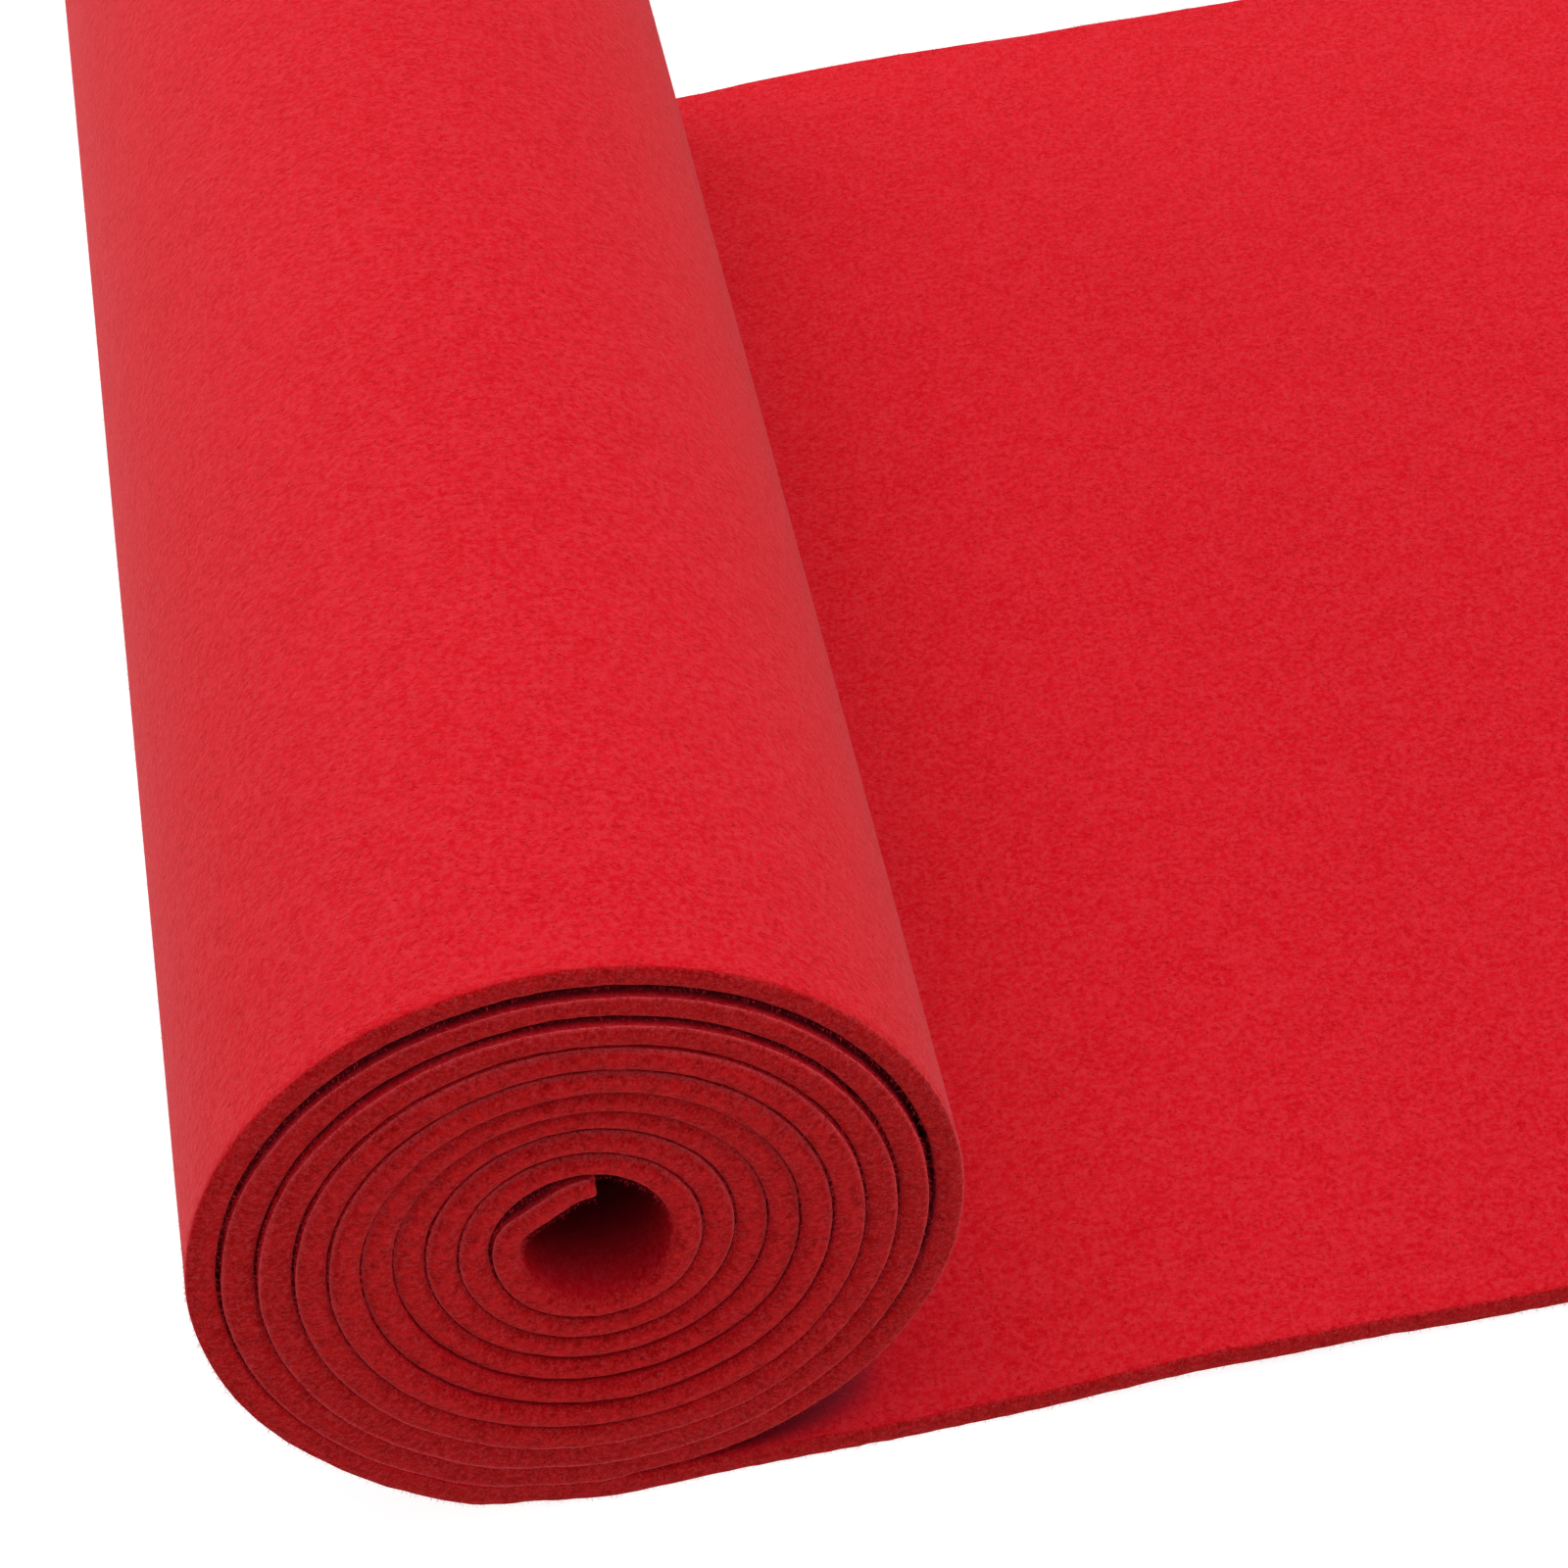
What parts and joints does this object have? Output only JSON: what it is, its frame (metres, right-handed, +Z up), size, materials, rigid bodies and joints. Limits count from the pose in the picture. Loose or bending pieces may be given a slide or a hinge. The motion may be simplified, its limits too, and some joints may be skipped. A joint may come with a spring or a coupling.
{
  "type": "roll of felt",
  "caption": "Thick felt strip wound on itself without a core, with its outer end unrolled flat beside the roll and its inner end left as a short tongue.",
  "frame": {"origin": "on the surface that the felt lies on, under the middle of the whole piece's box", "axes": "+X along the flat end, away from the roll; +Y along the roll, from its front end to its back end; +Z up"},
  "size_m": [0.2306, 0.2514, 0.0811],
  "materials": {
    "felt": "matt, dense red wool-like felt with a short soft nap and cut, slightly fuzzy edges"
  },
  "bodies": {
    "root": {"felt": "felt"}
  },
  "joints": []
}
